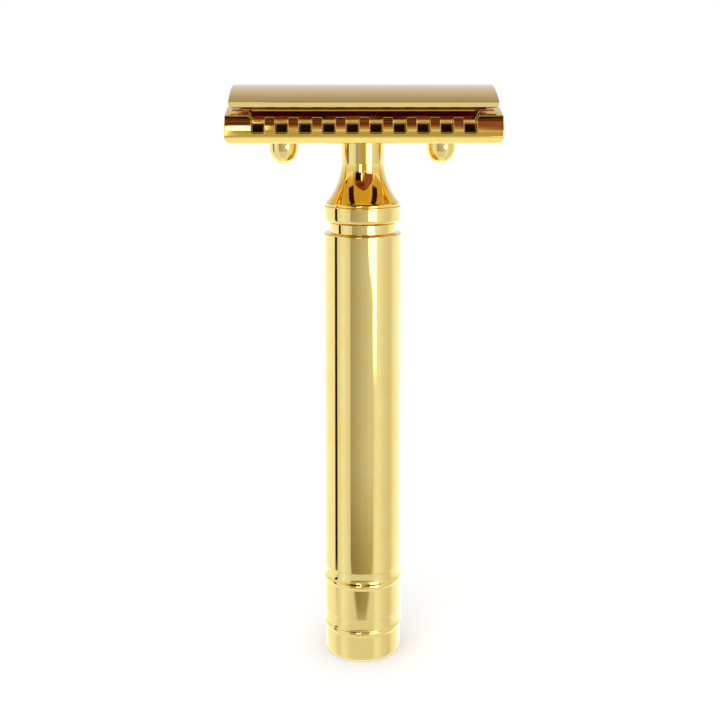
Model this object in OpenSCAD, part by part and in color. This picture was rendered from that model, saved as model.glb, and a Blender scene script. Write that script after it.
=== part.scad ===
// Three-piece double-edge safety razor with an open comb head.
// The head is a solid arched cap over a comb plate, clamped together by a
// threaded stud that screws down into the neck of a turned handle.
// Origin: centre of the handle's resting face. +Z up the handle, +X along
// the head, the two combs face -Y and +Y.

/* [Handle] */
// Length of the handle from its resting face to the top of its neck
handle_len = 84.15; // [80:0.05:95]
// Diameter of the smooth barrel
barrel_d = 12.6; // [11.5:0.1:14]
// Height at which the barrel starts, above the lower ornament
barrel_z0 = 14.6; // [14:0.1:20]
// Diameter of the ring between the two lower beads
ring_d = 12.48; // [11.5:0.02:12.6]
// Diameter of the end section under the lower bead
end_d = 12.2; // [11:0.1:12.4]
// Height of the middle of the upper bead
bead_upper_z = 12.45; // [11:0.05:13]
// Height of the middle of the lower bead
bead_lower_z = 4.65; // [4:0.05:7]
// How far the upper bead stands proud of the ring, on the radius
bead_proud = 0.2; // [0.05:0.01:0.3]
// How much less than that the lower bead stands proud
bead_lower_less = 0.1; // [0:0.01:0.1]
// Radius of a bead's round section
bead_r = 0.85; // [0.6:0.05:1]
// Radius that rounds the edge of the resting face
foot_round = 0.6; // [0.3:0.1:1]
// Size of the small bevels on the barrel's ends and round the collar's top
edge_bevel = 0.2; // [0.1:0.05:0.3]

/* [Neck] */
// Diameter of the straight part of the neck
neck_d = 6.95; // [6.8:0.05:8]
// Radius of the trumpet curve from the neck to the collar
flare_r = 10.25; // [8:0.05:12]
// Distance from the top of the neck down to the start of the trumpet curve
neck_straight = 3.35; // [2:0.05:5]
// Distance from the top of the neck down to the top of the collar
collar_drop = 10.45; // [9:0.05:11]
// Height of the collar
collar_h = 2.83; // [2:0.05:4]
// Diameter of the collar
collar_d = 12.5; // [12:0.05:13]
// Radius that rounds the lower edge of the collar
collar_round = 0.8; // [0.2:0.1:1.2]
// Height of the groove between collar and barrel
groove_h = 1.57; // [1:0.05:2.5]
// Diameter at the bottom of that groove
groove_d = 10.82; // [9:0.02:12]

/* [Comb plate] */
// Length of the comb plate
plate_len = 42; // [41:0.1:44]
// Width of the comb plate over both combs
plate_w = 25.8; // [25.4:0.1:27]
// Height of the arched top of the plate's end blocks above its underside
plate_h = 6.14; // [6:0.02:6.5]
// Radius of that arch
plate_arch_r = 38; // [36:0.5:42]
// Radius of the comb's rounded nose
nose_r = 6; // [5.5:0.1:8]
// Height of the flat bevel under the nose
bevel_h = 0.9; // [0.5:0.05:1.2]
// Width of that bevel
bevel_w = 0.8; // [0.5:0.05:2]
// Radius that rounds the plate's lower corners, seen from the front
plate_corner_r = 0.9; // [0.3:0.1:1.2]
// Number of slots in each comb
slot_count = 10; // [6:1:10]
// Distance from one slot to the next
slot_pitch = 3.55; // [3.2:0.01:3.55]
// Width of a slot
slot_w = 1.88; // [1.4:0.02:2]
// Height of a slot's floor above the underside, at its front end
slot_floor = 1.6; // [1.2:0.05:2]
// How much the slot's floor climbs towards the ridge behind the teeth
slot_climb = 1.4; // [0.5:0.05:1.5]
// Height of the comb's teeth above the underside
tooth_h = 3.98; // [3.6:0.02:4]
// Radius that rounds the upper corners of a tooth
tooth_round = 0.35; // [0.1:0.05:0.4]
// Distance from the middle of the plate to the inner side of the teeth
tooth_y = 11.05; // [10.9:0.05:11.2]
// Width of the lather trough between the blade bed and the teeth
trough_w = 1.75; // [1.5:0.05:1.8]
// Length of the lather trough at its top
trough_len = 34.9; // [34.8:0.1:36]
// How far each end of the trough slants in towards its floor
trough_slant = 1.1; // [0.5:0.1:1.5]
// Height of the trough's floor above the underside
trough_floor = 3.15; // [2.9:0.05:3.3]
// Height above the underside of the foot of the bed's upright edge
wall_foot_h = 4.73; // [4.5:0.01:4.9]
// How far the bed slants into the trough below that foot
wall_slant = 0.65; // [0.4:0.05:0.8]
// Height above the underside of the ridge between the trough and the slots
ridge_h = 3.57; // [3.4:0.01:3.7]
// Width of the flat top of that ridge
ridge_w = 0.2; // [0.1:0.05:0.3]

/* [Cap] */
// Length of the cap
cap_len = 41.2; // [40:0.1:42]
// Width of the cap over its lips
cap_w = 20.9; // [20.5:0.1:21.4]
// Height of the cap's crown above the top of the neck
cap_rise = 8.95; // [8.8:0.05:9.4]
// Height of the upright lip along each long edge
lip_h = 0.87; // [0.6:0.01:1.1]
// Height from the lip's lower edge to the crown
cap_h = 3.61; // [3.4:0.01:3.7]
// Radius of the arch under the cap, which bends the blade
clamp_r = 22; // [21:0.5:24]
// Size of the small bevel at the cap's lower corners
cap_bevel = 0.4; // [0.1:0.05:0.6]
// How far each lip leans in at its lower edge
lip_undercut = 0.22; // [0.1:0.01:0.3]
// Thickness of metal between the crown and the holes for the stud and pins
crown_skin = 0.55; // [0.4:0.05:0.6]

/* [Blade] */
// Length of the blade over its end tabs, which end flush with the cap
blade_len = 41; // [40.5:0.1:41.1]
// Width of the blade, edge to edge, measured flat
blade_w = 22; // [21.9:0.05:22.1]
// Thickness of the blade
blade_t = 0.1; // [0.08:0.01:0.12]
// Length of each cutting edge
edge_len = 37.4; // [37:0.1:38]
// Width of the end tabs
tab_w = 13; // [12:0.1:14]
// Length of blade left at each end of the middle slot
slot_end = 3.6; // [3:0.1:4]
// Width of the middle slot
slot_gap = 1.9; // [1.5:0.1:2.2]

/* [Stud, pins and joints] */
// Outside diameter of the stud's screw thread
thread_d = 5; // [4.8:0.1:5]
// Pitch of the thread
thread_pitch = 0.8; // [0.7:0.1:0.8]
// How far the stud reaches into the neck when the razor is tight
thread_grip = 7.85; // [7.5:0.05:8]
// Height of the thread's upper end above the underside of the plate
thread_top = 5.6; // [5:0.1:5.8]
// Radius of the stud's neck, where it enters the cap
stud_neck_r = 1.9; // [1.7:0.1:2]
// Length of that neck
stud_neck_len = 1.05; // [0.9:0.05:1.2]
// Diameter of the two guide pins
pin_d = 2.8; // [2.4:0.1:2.8]
// Distance between the two guide pins
pin_spacing = 25.36; // [25:0.02:26]
// How far the bosses reach below the plate
boss_h = 4.1; // [3.8:0.05:4.2]
// Diameter of the bosses
boss_d = 4.84; // [4.8:0.02:5.4]
// Height of the bosses' straight part, above their pointed end
boss_straight = 1.1; // [0.8:0.1:1.5]
// Thickness of metal below the pin holes in the bosses
boss_floor = 1.8; // [1.5:0.1:2]
// Radial clearance of the stud and the pins in their holes
running_gap = 0.05; // [0.02:0.01:0.1]
// Radial clearance of the stud where it passes through the plate
plate_gap = 0.2; // [0.1:0.05:0.3]
// Radial clearance of the blade round the stud; it is half of this round a pin
blade_hole_gap = 0.4; // [0.2:0.1:0.5]
// Space left under the tips of the stud and the pins
tip_relief = 0.2; // [0.1:0.05:0.4]
// Size of the bevel on the tips of the stud and the pins
tip_bevel = 0.4; // [0.2:0.1:0.6]

/* [Hidden] */
$fn = 128;
// Overlap that makes a cut clean, and the gap between faces that touch
cut = 0.5;
touch = 0.01;
// More than the whole razor, for cutting tools
big = 60;
// How finely the broad arches are drawn
arch_fn = 256;

gold = "gold";
steel = "lightsteelblue";

// Heights of the faces that the head's pieces share
plate_z = handle_len + touch;
crown_z = handle_len + cap_rise;
lip_z = crown_z - cap_h;
// The arch under the cap and everything that follows it have one centre
// line: the cap's clamping arch passes just above the lip's lower edge,
// this far in from the lip's outer face
lip_edge = 0.45;
clamp_edge_y = cap_w / 2 - lip_edge;
clamp_axis_z = lip_z + 2 * touch - sqrt(clamp_r * clamp_r - clamp_edge_y * clamp_edge_y);
blade_top_r = clamp_r - touch;
blade_low_r = blade_top_r - blade_t;
bed_r = blade_low_r - touch;
// Half width of the blade bed between the two troughs
bed_y = tooth_y - trough_w;
// Outer arch of the cap, through its crown and the upper edges of the lips
arch_rise = cap_h - lip_h;
cap_arch_r = (cap_w * cap_w / 4 + arch_rise * arch_rise) / (2 * arch_rise);
// Centre of the comb's nose, a little above the bevel
nose_lift = 0.2;
nose_y = plate_w / 2 - nose_r;
nose_z = plate_z + bevel_h + nose_lift;
// Depth and shape of the stud and its hole
stud_tip_z = handle_len - thread_grip;
bore_r = thread_d / 2 + running_gap;
thread_depth = 0.55 * thread_pitch;
stud_top_z = crown_z - crown_skin;
stud_neck_z = stud_top_z - stud_neck_len;
// Pins: set into the cap, ending inside the bosses
pin_x = pin_spacing / 2;
pin_r = pin_d / 2;
pin_top_z = crown_z - crown_skin;
boss_tip_z = plate_z - boss_h;
pin_bore_floor_z = boss_tip_z + boss_floor;
pin_tip_z = pin_bore_floor_z + tip_relief;
// Half length of the comb, over its outer slots
comb_half = (slot_count - 1) / 2 * slot_pitch + slot_w / 2;

// Outline of one bead, as the edge of a revolved profile
module bead_outline(r_crest, z) {
    translate([r_crest - bead_r, z])
        circle(r = bead_r);
}

// Half outline of the handle, in radius and height
module handle_outline() {
    collar_top = handle_len - collar_drop;
    collar_low = collar_top - collar_h;
    barrel_top = collar_low - groove_h;
    flare_top = handle_len - neck_straight;
    barrel_h = barrel_top - barrel_z0;
    // Foot: the end section with a rounded lower edge
    square([end_d / 2 - foot_round, bead_lower_z]);
    translate([0, foot_round])
        square([end_d / 2, bead_lower_z - foot_round]);
    translate([end_d / 2 - foot_round, foot_round])
        circle(r = foot_round);
    // Ring between the beads, and the two beads
    translate([0, bead_lower_z])
        square([ring_d / 2, barrel_z0 - bead_lower_z]);
    bead_outline(ring_d / 2 + bead_proud, bead_upper_z);
    bead_outline(ring_d / 2 + bead_proud - bead_lower_less, bead_lower_z);
    // Barrel with a narrow bevel at each end
    translate([0, barrel_z0])
        polygon([
            [0, 0],
            [barrel_d / 2 - edge_bevel / 2, 0],
            [barrel_d / 2, edge_bevel / 2],
            [barrel_d / 2, barrel_h - edge_bevel],
            [barrel_d / 2 - edge_bevel, barrel_h],
            [0, barrel_h]
        ]);
    // Groove under the collar
    translate([0, barrel_top - cut])
        square([groove_d / 2, groove_h + 2 * cut]);
    // Collar with a rounded lower edge
    translate([0, collar_low])
        square([collar_d / 2 - collar_round, collar_h]);
    translate([0, collar_low + collar_round])
        square([collar_d / 2, collar_h - collar_round]);
    translate([collar_d / 2 - collar_round, collar_low + collar_round])
        circle(r = collar_round);
    // Trumpet curve up to the neck
    difference() {
        translate([0, collar_top - cut])
            square([collar_d / 2 - edge_bevel, handle_len - collar_top + cut]);
        translate([neck_d / 2 + flare_r, flare_top])
            circle(r = flare_r);
        translate([neck_d / 2, flare_top])
            square([big, big]);
    }
}

// Handle: one turned bar, with a tapped hole down its neck
module handle() {
    color(gold)
        difference() {
            rotate_extrude()
                intersection() {
                    handle_outline();
                    square([big, handle_len]);
                }
            translate([0, 0, stud_tip_z - 2 * tip_relief])
                cylinder(r = bore_r, h = big);
        }
}

// Cross-section of the plate's end blocks, in width and height
module block_section() {
    half_w = plate_w / 2;
    intersection() {
        translate([0, plate_z + plate_h - plate_arch_r])
            circle(r = plate_arch_r, $fn = arch_fn);
        union() {
            translate([-nose_y, plate_z])
                square([2 * nose_y, plate_h]);
            for (side = [-1, 1])
                translate([side * nose_y, nose_z])
                    circle(r = nose_r);
        }
        polygon([
            [-half_w + bevel_w, plate_z],
            [half_w - bevel_w, plate_z],
            [half_w + cut * bevel_w / bevel_h, plate_z + bevel_h + cut],
            [half_w + cut, plate_z + plate_h],
            [-half_w - cut, plate_z + plate_h],
            [-half_w - cut * bevel_w / bevel_h, plate_z + bevel_h + cut]
        ]);
    }
}

// Lays a width-and-height section along the head, centred, with a length
module along_head(len) {
    rotate([90, 0, 90])
        linear_extrude(height = len, center = true)
            children();
}

// Lays a length-and-height section across the head, centred, with a width
module across_head(w) {
    rotate([90, 0, 0])
        linear_extrude(height = w, center = true)
            children();
}

// Front outline of the plate, with its lower corners rounded
module plate_front() {
    half = plate_len / 2;
    translate([-half + plate_corner_r, plate_z])
        square([plate_len - 2 * plate_corner_r, plate_h + cut]);
    translate([-half, plate_z + plate_corner_r])
        square([plate_len, plate_h]);
    for (side = [-1, 1])
        translate([side * (half - plate_corner_r), plate_z + plate_corner_r])
            circle(r = plate_corner_r);
}

// Rounds the upper corner of the tooth on one side of a slot, seen from
// the front, with the slot's own wall at x = 0
module tooth_corner() {
    translate([tooth_round, plate_z + tooth_h - tooth_round])
        difference() {
            translate([-tooth_round - cut, 0])
                square([tooth_round + cut, tooth_round + cut]);
            circle(r = tooth_round);
        }
}

// Side outline of one comb slot: upright at the ridge, with a floor that
// slopes down to the front of the comb
module slot_side() {
    front = plate_w / 2 + cut;
    slope = slot_climb / (plate_w / 2 - tooth_y);
    polygon([
        [tooth_y, plate_z + plate_h + cut],
        [tooth_y, plate_z + slot_floor + slot_climb],
        [front, plate_z + slot_floor - cut * slope],
        [front, plate_z + plate_h + cut]
    ]);
}

// The slots of the comb on the +Y side of the plate
module comb_slots() {
    depth = plate_w / 2 - tooth_y + 2 * cut;
    for (i = [0 : slot_count - 1])
        translate([(i - (slot_count - 1) / 2) * slot_pitch, 0, 0]) {
            along_head(slot_w)
                slot_side();
            for (side = [0, 1])
                mirror([side, 0, 0])
                    translate([slot_w / 2, tooth_y + depth / 2, 0])
                        across_head(depth)
                            tooth_corner();
        }
}

// The hollow behind the comb on the +Y side: a trough with slanted ends,
// and the space over the ridge and the teeth
module lather_trough() {
    floor_z = plate_z + trough_floor;
    wall_z = plate_z + wall_foot_h;
    ridge_z = plate_z + ridge_h;
    top_z = plate_z + plate_h + cut;
    half_top = trough_len / 2;
    half_low = half_top - trough_slant;
    intersection() {
        along_head(trough_len)
            polygon([
                [bed_y, top_z],
                [bed_y, wall_z],
                [bed_y + wall_slant, floor_z],
                [tooth_y - 2 * ridge_w, floor_z],
                [tooth_y - ridge_w, ridge_z],
                [tooth_y, ridge_z],
                [tooth_y, top_z]
            ]);
        across_head(big)
            polygon([
                [-half_low, floor_z - cut],
                [half_low, floor_z - cut],
                [half_low, floor_z],
                [half_top, wall_z],
                [half_top, top_z + cut],
                [-half_top, top_z + cut],
                [-half_top, wall_z],
                [-half_low, floor_z]
            ]);
    }
    translate([-comb_half, tooth_y - cut, plate_z + tooth_h])
        cube([2 * comb_half, big, plate_h]);
}

// The raised bed that carries the blade between the two troughs
module blade_bed() {
    along_head(trough_len)
        intersection() {
            translate([0, clamp_axis_z])
                circle(r = bed_r, $fn = arch_fn);
            translate([-bed_y, plate_z + 2 * cut])
                square([2 * bed_y, big]);
        }
}

// Half outline of a boss: a pointed arch turned about the pin's axis
module boss_outline() {
    root_z = plate_z - boss_straight;
    ogive_h = root_z - boss_tip_z;
    boss_r = boss_d / 2;
    ogive_r = (boss_r * boss_r + ogive_h * ogive_h) / (2 * boss_r);
    translate([0, root_z])
        square([boss_r, plate_z + cut - root_z]);
    intersection() {
        translate([boss_r - ogive_r, root_z])
            circle(r = ogive_r);
        translate([0, boss_tip_z + 5 * touch])
            square([boss_r, ogive_h]);
    }
}

// Comb plate: end blocks, two combs with troughs, the blade bed and the
// two bosses that take the guide pins
module base_plate() {
    color(gold)
        difference() {
            union() {
                difference() {
                    intersection() {
                        along_head(plate_len)
                            block_section();
                        across_head(big)
                            plate_front();
                    }
                    for (side = [0, 1])
                        mirror([0, side, 0]) {
                            comb_slots();
                            lather_trough();
                        }
                }
                blade_bed();
                for (side = [-1, 1])
                    translate([side * pin_x, 0, 0])
                        rotate_extrude()
                            boss_outline();
            }
            translate([0, 0, plate_z - cut])
                cylinder(r = thread_d / 2 + plate_gap, h = big);
            for (side = [-1, 1])
                translate([side * pin_x, 0, pin_bore_floor_z])
                    cylinder(r = pin_r + running_gap, h = big);
        }
}

// Cross-section of the cap, in width and height
module cap_section() {
    half_w = cap_w / 2;
    difference() {
        intersection() {
            translate([0, crown_z - cap_arch_r])
                circle(r = cap_arch_r, $fn = arch_fn);
            polygon([
                [-half_w + lip_undercut, lip_z],
                [half_w - lip_undercut, lip_z],
                [half_w, lip_z + lip_h],
                [half_w, crown_z + cut],
                [-half_w, crown_z + cut],
                [-half_w, lip_z + lip_h]
            ]);
        }
        translate([0, clamp_axis_z])
            circle(r = clamp_r, $fn = arch_fn);
    }
}

// Cap: a solid arched bar with upright lips, hollowed below by the
// clamping arch, with blind holes for the stud and the pins
module top_cap() {
    half = cap_len / 2;
    color(gold)
        difference() {
            intersection() {
                along_head(cap_len)
                    cap_section();
                across_head(big)
                    polygon([
                        [-half + cap_bevel, lip_z - cut],
                        [half - cap_bevel, lip_z - cut],
                        [half - cap_bevel, lip_z],
                        [half, lip_z + cap_bevel],
                        [half, crown_z + cut],
                        [-half, crown_z + cut],
                        [-half, lip_z + cap_bevel],
                        [-half + cap_bevel, lip_z]
                    ]);
            }
            translate([0, 0, stud_top_z - big])
                cylinder(r = stud_neck_r, h = big);
            for (side = [-1, 1])
                translate([side * pin_x, 0, pin_top_z - big])
                    cylinder(r = pin_r, h = big);
        }
}

// Half outline of the stud: a spigot, a plain neck and a ridged thread
module stud_outline() {
    crest_r = thread_d / 2;
    root_r = crest_r - thread_depth;
    low_z = stud_tip_z + 2 * cut;
    ridges = floor((plate_z + thread_top - low_z) / thread_pitch);
    flat = thread_pitch / 8;
    polygon([
        [0, stud_tip_z],
        [root_r - tip_bevel, stud_tip_z],
        [root_r, stud_tip_z + tip_bevel],
        for (i = [0 : ridges - 1])
            let (z = low_z + i * thread_pitch)
                each [
                    [root_r, z + flat],
                    [crest_r, z + thread_pitch / 2 - flat / 2],
                    [crest_r, z + thread_pitch / 2 + flat / 2],
                    [root_r, z + thread_pitch - flat]
                ],
        [root_r, stud_neck_z],
        [stud_neck_r, stud_neck_z],
        [stud_neck_r, stud_top_z],
        [0, stud_top_z]
    ]);
}

// Stud fixed in the cap, which screws into the neck
module threaded_stud() {
    color(gold)
        rotate_extrude()
            stud_outline();
}

// Guide pin fixed in the cap, with a bevelled tip
module guide_pin(side) {
    color(gold)
        translate([side * pin_x, 0, 0])
            rotate_extrude()
                polygon([
                    [0, pin_tip_z],
                    [pin_r - tip_bevel, pin_tip_z],
                    [pin_r, pin_tip_z + tip_bevel],
                    [pin_r, pin_top_z],
                    [0, pin_top_z]
                ]);
}

// Flat outline of the blade: cutting edges, narrower end tabs and the
// slot with round holes for the stud and the pins
module blade_outline(projected_w) {
    difference() {
        union() {
            square([edge_len, projected_w], center = true);
            square([blade_len, tab_w], center = true);
        }
        square([blade_len - 2 * slot_end, slot_gap], center = true);
        circle(r = thread_d / 2 + blade_hole_gap);
        for (side = [-1, 1])
            translate([side * pin_x, 0])
                circle(r = pin_r + blade_hole_gap / 2);
    }
}

// Blade: a thin steel sheet bent to the clamping arch
module razor_blade() {
    half_angle = blade_w / 2 / blade_top_r * 180 / PI;
    projected_w = 2 * blade_top_r * sin(half_angle);
    color(steel)
        intersection() {
            along_head(blade_len)
                difference() {
                    translate([0, clamp_axis_z])
                        circle(r = blade_top_r, $fn = arch_fn);
                    translate([0, clamp_axis_z])
                        circle(r = blade_low_r, $fn = arch_fn);
                }
            translate([0, 0, plate_z])
                linear_extrude(height = big)
                    blade_outline(projected_w);
        }
}

handle();
base_plate();
top_cap();
threaded_stud();
guide_pin(-1);  // guide_pin_left
guide_pin(1);  // guide_pin_right
razor_blade();
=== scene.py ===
import math

import bmesh
import bpy
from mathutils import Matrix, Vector


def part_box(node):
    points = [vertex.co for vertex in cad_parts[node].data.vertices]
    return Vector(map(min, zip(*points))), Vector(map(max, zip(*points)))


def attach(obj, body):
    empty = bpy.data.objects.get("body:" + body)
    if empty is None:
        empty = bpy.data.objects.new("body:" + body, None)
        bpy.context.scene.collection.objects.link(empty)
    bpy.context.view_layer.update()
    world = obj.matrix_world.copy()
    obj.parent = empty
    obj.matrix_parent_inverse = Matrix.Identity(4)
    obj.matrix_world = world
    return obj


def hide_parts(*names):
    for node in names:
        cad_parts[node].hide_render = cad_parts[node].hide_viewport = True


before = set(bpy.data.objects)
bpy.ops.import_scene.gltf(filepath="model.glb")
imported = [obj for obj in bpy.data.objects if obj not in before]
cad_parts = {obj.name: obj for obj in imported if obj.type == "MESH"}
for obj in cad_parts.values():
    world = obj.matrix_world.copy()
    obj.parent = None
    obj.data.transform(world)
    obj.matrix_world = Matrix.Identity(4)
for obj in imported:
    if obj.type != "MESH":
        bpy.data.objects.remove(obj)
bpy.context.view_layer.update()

# Outlines are worked out in millimetres, as in the CAD, and meshes are in metres.
MM = 0.001

# ---------------------------------------------------------------- sizes (mm)
HANDLE_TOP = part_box("handle")[1].z / MM
PLATE_LOW, PLATE_HIGH = (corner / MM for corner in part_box("base_plate"))
CAP_LOW, CAP_HIGH = (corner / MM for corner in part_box("top_cap"))
STUD_LOW, STUD_HIGH = (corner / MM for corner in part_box("threaded_stud"))
PIN_LOW, PIN_HIGH = (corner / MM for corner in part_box("guide_pin_right"))
BLADE_LOW, BLADE_HIGH = (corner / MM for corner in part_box("razor_blade"))

# Handle
END_R = 6.1
RING_R = 6.24
BARREL_R = 6.3
COVE_R = 6.2
BARREL_Z0 = 14.6
COVE_CURVE_R = 1.3
RING_Z = 6.97
BEAD_R = 0.85
LOW_BEAD = (4.65, 6.34)                   # height and crest radius
HIGH_BEAD = (12.45, 6.44)
FOOT_ROUND = 0.6
COLLAR_R = 6.25
COLLAR_TOP = HANDLE_TOP - 10.45
COLLAR_LOW = COLLAR_TOP - 2.83
COLLAR_ROUND = 0.8
GROOVE_R = 5.41
BARREL_TOP = COLLAR_LOW - 1.57
NECK_R = 3.475
FLARE_R = 10.25
FLARE_TOP = HANDLE_TOP - 3.35
FLARE_END_R = 5.98
NECK_BORE_R = 2.55

# Comb plate
PLATE_Z = HANDLE_TOP + 0.01
PLATE_LEN = PLATE_HIGH.x - PLATE_LOW.x
PLATE_HALF_W = PLATE_HIGH.y
PLATE_ARCH_R = 38.0
PLATE_H = 6.14
NOSE_R = 6.0
NOSE_LIFT = 0.2
BEVEL_H = 0.9
BEVEL_W = 0.8
PLATE_CORNER_R = 0.9
SLOT_COUNT = 10
SLOT_PITCH = 3.55
SLOT_W = 1.88
SLOT_X = [(i - (SLOT_COUNT - 1) / 2) * SLOT_PITCH for i in range(SLOT_COUNT)]
SLOT_FLOOR = PLATE_Z + 1.6
SLOT_CLIMB = 1.4
TOOTH_TOP = PLATE_Z + 3.98
TOOTH_ROUND = 0.35
TOOTH_Y = 11.05
BED_Y = TOOTH_Y - 1.75
TROUGH_LEN = 34.9
TROUGH_SLANT = 1.1
TROUGH_FLOOR = PLATE_Z + 3.15
WALL_Z = PLATE_Z + 4.73
WALL_SLANT = 0.65
RIDGE_Z = PLATE_Z + 3.57
RIDGE_W = 0.2
BOSS_X = (PIN_LOW.x + PIN_HIGH.x) / 2
BOSS_R = 2.42
BOSS_ROOT_Z = PLATE_Z - 1.1
PIN_BORE_R = 1.45
PLATE_EDGE_R = 0.14
STUD_HOLE_R = 2.7

# Cap
CAP_LEN = CAP_HIGH.x - CAP_LOW.x
CAP_HALF_W = CAP_HIGH.y
CROWN_Z = CAP_HIGH.z
LIP_Z = CAP_LOW.z
LIP_H = 0.87
LIP_UNDERCUT = 0.22
CLAMP_R = 22.0
CLAMP_EDGE_Y = CAP_HALF_W - 0.45
CAP_BEVEL = 0.4
CAP_EDGE_R = 0.08

# Blade
BLADE_T = 0.1
BLADE_W = 22.0
BLADE_LEN = BLADE_HIGH.x - BLADE_LOW.x
EDGE_LEN = 37.4
TAB_W = 13.0
GRIND_W = 0.6
STRIP_W = 0.2
STRIP_CUTS = 52                           # on each side of the middle

# Stud and pins
THREAD_R = 2.5
THREAD_PITCH = 0.8
THREAD_DEPTH = 0.44
TAPPED_DEPTH = 0.3
THREAD_TOP = PLATE_Z + 5.6
STUD_NECK_R = 1.9
STUD_NECK_Z = CROWN_Z - 1.6

# The arch that cap, blade and bed share
CLAMP_AXIS_Z = LIP_Z + 0.02 - math.sqrt(CLAMP_R ** 2 - CLAMP_EDGE_Y ** 2)
BLADE_MID_R = CLAMP_R - 0.01 - BLADE_T / 2
BED_R = CLAMP_R - 0.02 - BLADE_T


# ------------------------------------------------------------ outline helpers
def arc(cx, cy, r, start, end, step=4.0):
    """Points along a circle from one angle to another, in degrees."""
    count = max(2, math.ceil(abs(end - start) / step))
    turns = [math.radians(start + (end - start) * i / count) for i in range(count + 1)]
    return [(cx + r * math.cos(a), cy + r * math.sin(a)) for a in turns]


def rounded(corners, step=15.0, hold=0.03):
    """An outline through (x, y, radius) corners, each corner rounded off.

    A straight run gets a point just inside each end, so that smooth shading
    stays flat along it.
    """
    points = []
    for i, (x, y, r) in enumerate(corners):
        here = Vector((x, y))
        if r == 0 or i in (0, len(corners) - 1):
            points.append((x, y))
            continue
        before = (Vector(corners[i - 1][:2]) - here).normalized()
        after = (Vector(corners[i + 1][:2]) - here).normalized()
        half = before.angle(after) / 2
        reach = r / math.tan(half)
        centre = here + (before + after).normalized() * (r / math.sin(half))
        first = here + before * reach
        last = here + after * reach
        a0 = math.atan2(first.y - centre.y, first.x - centre.x)
        a1 = math.atan2(last.y - centre.y, last.x - centre.x)
        sweep = (a1 - a0 + math.pi) % (2 * math.pi) - math.pi
        count = max(2, math.ceil(math.degrees(abs(sweep)) / step))
        points.append(tuple(first + before * hold))
        for k in range(count + 1):
            a = a0 + sweep * k / count
            points.append((centre.x + r * math.cos(a), centre.y + r * math.sin(a)))
        points.append(tuple(last + after * hold))
    return points


# --------------------------------------------------------------- mesh helpers
def add_object(name, bm):
    """Turns a bmesh in millimetres into an object in metres."""
    bmesh.ops.scale(bm, vec=(MM, MM, MM), verts=bm.verts)
    bmesh.ops.recalc_face_normals(bm, faces=bm.faces)
    mesh = bpy.data.meshes.new(name)
    bm.to_mesh(mesh)
    bm.free()
    obj = bpy.data.objects.new(name, mesh)
    bpy.context.scene.collection.objects.link(obj)
    return obj


def lathe(name, outline, segments=160, centre=(0.0, 0.0), radius_at=None):
    """Turns an outline of (radius, height) points about a vertical axis."""
    bm = bmesh.new()
    rings = []
    for r, z in outline:
        if r < 1e-6:
            rings.append([bm.verts.new((centre[0], centre[1], z))])
            continue
        ring = []
        for k in range(segments):
            a = 2 * math.pi * k / segments
            rr = radius_at(a, r, z) if radius_at else r
            ring.append(bm.verts.new((centre[0] + rr * math.cos(a),
                                      centre[1] + rr * math.sin(a), z)))
        rings.append(ring)
    for low, high in zip(rings, rings[1:]):
        for k in range(segments):
            n = (k + 1) % segments
            if len(low) == 1 and len(high) == 1:
                continue
            if len(low) == 1:
                bm.faces.new((low[0], high[n], high[k]))
            elif len(high) == 1:
                bm.faces.new((low[k], low[n], high[0]))
            else:
                bm.faces.new((low[k], low[n], high[n], high[k]))
    return add_object(name, bm)


def prism(name, outline, length, axis="x", at=0.0):
    """A closed outline drawn out along an axis.

    Along x the outline is (y, z), along y it is (x, z), along z it is (x, y).
    """
    def place(u, v, w):
        return {"x": (w, u, v), "y": (u, w, v), "z": (u, v, w)}[axis]

    bm = bmesh.new()
    ends = [[bm.verts.new(place(u, v, at + s * length / 2)) for u, v in outline]
            for s in (-1, 1)]
    bm.faces.new(ends[0])
    bm.faces.new(list(reversed(ends[1])))
    count = len(outline)
    for k in range(count):
        n = (k + 1) % count
        bm.faces.new((ends[0][k], ends[0][n], ends[1][n], ends[1][k]))
    return add_object(name, bm)


def box_outline(x0, y0, x1, y1):
    return [(x0, y0), (x1, y0), (x1, y1), (x0, y1)]


def everything(bm):
    return bm.verts[:] + bm.edges[:] + bm.faces[:]


def bake(obj):
    """Applies the modifiers of an object to its mesh."""
    graph = bpy.context.evaluated_depsgraph_get()
    mesh = bpy.data.meshes.new_from_object(obj.evaluated_get(graph))
    old = obj.data
    obj.modifiers.clear()
    obj.data = mesh
    bpy.data.meshes.remove(old)


def combine(obj, tool, operation):
    """Cuts a tool from an object, joins it on, or keeps only what they share."""
    mod = obj.modifiers.new("combine", "BOOLEAN")
    mod.operation = operation
    mod.solver = "EXACT"
    mod.object = tool
    bake(obj)
    bpy.data.objects.remove(tool)
    return obj


def polish(obj, width, angle=24.0, holds=()):
    """Rounds every edge sharper than an angle and shades the rest smooth.

    Each hold is a place along x where the mesh gets an extra line of edges,
    which keeps the smooth shading flat on narrow faces beside it.
    """
    bm = bmesh.new()
    bm.from_mesh(obj.data)
    bmesh.ops.remove_doubles(bm, verts=bm.verts, dist=1e-7)
    bmesh.ops.dissolve_limit(bm, angle_limit=math.radians(0.2),
                             verts=bm.verts, edges=bm.edges)
    bm.to_mesh(obj.data)
    bm.free()
    bevel = obj.modifiers.new("edges", "BEVEL")
    bevel.width = width * MM
    bevel.segments = 3
    bevel.limit_method = "ANGLE"
    bevel.angle_limit = math.radians(angle)
    bevel.use_clamp_overlap = False
    bevel.miter_outer = "MITER_ARC"
    bake(obj)
    bm = bmesh.new()
    bm.from_mesh(obj.data)
    for x in holds:
        bmesh.ops.bisect_plane(bm, geom=everything(bm), dist=1e-8,
                               plane_co=(x * MM, 0, 0), plane_no=(1, 0, 0))
    bm.to_mesh(obj.data)
    bm.free()
    smooth(obj)


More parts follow.
